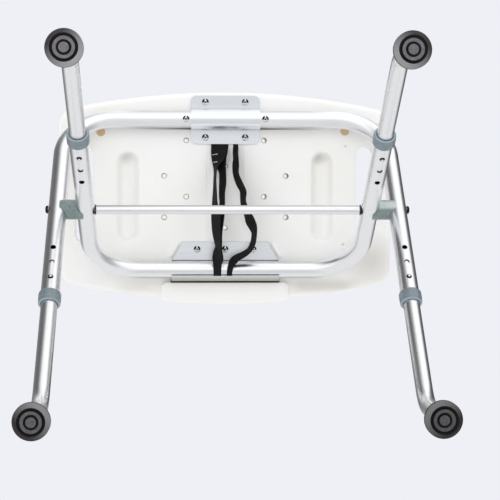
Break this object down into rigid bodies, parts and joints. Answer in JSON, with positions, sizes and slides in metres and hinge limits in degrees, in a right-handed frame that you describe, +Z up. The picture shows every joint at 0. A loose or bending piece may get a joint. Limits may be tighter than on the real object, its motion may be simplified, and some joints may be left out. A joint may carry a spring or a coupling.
{
  "type": "folding shower stool",
  "caption": "Folding shower stool with a white blow-moulded seat with two hand slots, on two crossed U frames of aluminium tube that fold about a rod, with telescoping legs, snap buttons and rubber feet.",
  "frame": {"origin": "on the floor, at the centre of the base of the bounding box", "axes": "+Z up; +Y towards the outer frame's cross tube, which the seat hinges on; +X along the seat's length"},
  "size_m": [0.5396, 0.4892, 0.526],
  "materials": {
    "seat_plastic": "satin",
    "tube_aluminium": "satin",
    "bracket_aluminium": "satin",
    "collar_plastic": "satin",
    "saddle_plastic": "matte",
    "black_plastic": "satin",
    "rubber": "matte",
    "chromed_steel": "gloss",
    "webbing": "matte"
  },
  "bodies": {
    "outer_frame": {"outer_frame_tube": "tube_aluminium", "outer_left_leg_collar": "collar_plastic", "outer_right_leg_collar": "collar_plastic", "tube_stop_screw_1": "chromed_steel", "tube_stop_screw_2": "chromed_steel", "left_outer_saddle": "saddle_plastic", "right_outer_saddle": "saddle_plastic"},
    "inner_frame": {"inner_frame_tube": "tube_aluminium", "inner_left_leg_collar": "collar_plastic", "inner_right_leg_collar": "collar_plastic", "pivot_rod": "tube_aluminium", "left_pivot_bolt": "chromed_steel", "right_pivot_bolt": "chromed_steel", "left_rod_washer": "black_plastic", "right_rod_washer": "black_plastic", "left_inner_saddle": "saddle_plastic", "right_inner_saddle": "saddle_plastic"},
    "seat": {"seat": "seat_plastic", "hinge_bracket": "bracket_aluminium", "hinge_bracket_screw_1": "chromed_steel", "hinge_bracket_screw_2": "chromed_steel", "hinge_bracket_screw_3": "chromed_steel", "hinge_bracket_screw_4": "chromed_steel", "catch_bracket": "bracket_aluminium", "catch_bracket_screw_1": "chromed_steel", "catch_bracket_screw_2": "chromed_steel", "catch_bracket_screw_3": "chromed_steel", "strap_left_run": "webbing", "strap_right_run": "webbing"},
    "outer_left_leg": {"outer_left_lower_leg": "tube_aluminium", "outer_left_foot": "rubber", "outer_left_button_spring": "chromed_steel"},
    "outer_left_button": {"outer_left_snap_button": "chromed_steel"},
    "outer_right_leg": {"outer_right_lower_leg": "tube_aluminium", "outer_right_foot": "rubber", "outer_right_button_spring": "chromed_steel"},
    "outer_right_button": {"outer_right_snap_button": "chromed_steel"},
    "inner_left_leg": {"inner_left_lower_leg": "tube_aluminium", "inner_left_foot": "rubber", "inner_left_button_spring": "chromed_steel"},
    "inner_left_button": {"inner_left_snap_button": "chromed_steel"},
    "inner_right_leg": {"inner_right_lower_leg": "tube_aluminium", "inner_right_foot": "rubber", "inner_right_button_spring": "chromed_steel"},
    "inner_right_button": {"inner_right_snap_button": "chromed_steel"}
  },
  "joints": [
    {"name": "fold", "type": "hinge", "parent": "outer_frame", "child": "inner_frame", "pos_m": [0, 0.0278, 0.364], "axis": [-1, 0, 0], "range_deg": [0, 80], "deforming": ["strap_left_run", "strap_right_run"]},
    {"name": "seat_hinge", "type": "hinge", "parent": "outer_frame", "child": "seat", "pos_m": [0, 0.1608, 0.485], "axis": [-1, 0, 0], "range_deg": [0, 45], "deforming": ["strap_left_run", "strap_right_run"]},
    {"name": "outer_left_leg_slide", "type": "slide", "parent": "outer_frame", "child": "outer_left_leg", "axis": [-0.02, -0.7395, -0.6728], "range_m": [-0.052, 0], "deforming": ["outer_left_snap_button"]},
    {"name": "outer_left_button_press", "type": "slide", "parent": "outer_left_leg", "child": "outer_left_button", "axis": [0, -0.6729, 0.7397], "range_m": [0, 0.0035], "stiffness_N_per_m": 900, "deforming": ["outer_left_button_spring"]},
    {"name": "outer_right_leg_slide", "type": "slide", "parent": "outer_frame", "child": "outer_right_leg", "axis": [0.02, -0.7395, -0.6728], "range_m": [-0.052, 0], "deforming": ["outer_right_snap_button"]},
    {"name": "outer_right_button_press", "type": "slide", "parent": "outer_right_leg", "child": "outer_right_button", "axis": [0, -0.6729, 0.7397], "range_m": [0, 0.0035], "stiffness_N_per_m": 900, "deforming": ["outer_right_button_spring"]},
    {"name": "inner_left_leg_slide", "type": "slide", "parent": "inner_frame", "child": "inner_left_leg", "axis": [-0.02, 0.5967, -0.8022], "range_m": [-0.052, 0], "deforming": ["inner_left_snap_button"]},
    {"name": "inner_left_button_press", "type": "slide", "parent": "inner_left_leg", "child": "inner_left_button", "axis": [0, 0.8024, 0.5968], "range_m": [0, 0.0035], "stiffness_N_per_m": 900, "deforming": ["inner_left_button_spring"]},
    {"name": "inner_right_leg_slide", "type": "slide", "parent": "inner_frame", "child": "inner_right_leg", "axis": [0.02, 0.5967, -0.8022], "range_m": [-0.052, 0], "deforming": ["inner_right_snap_button"]},
    {"name": "inner_right_button_press", "type": "slide", "parent": "inner_right_leg", "child": "inner_right_button", "axis": [0, 0.8024, 0.5968], "range_m": [0, 0.0035], "stiffness_N_per_m": 900, "deforming": ["inner_right_button_spring"]}
  ],
  "couplings": [
    {"joint": "seat_hinge", "follows": "fold", "ratio": 0.55}
  ]
}
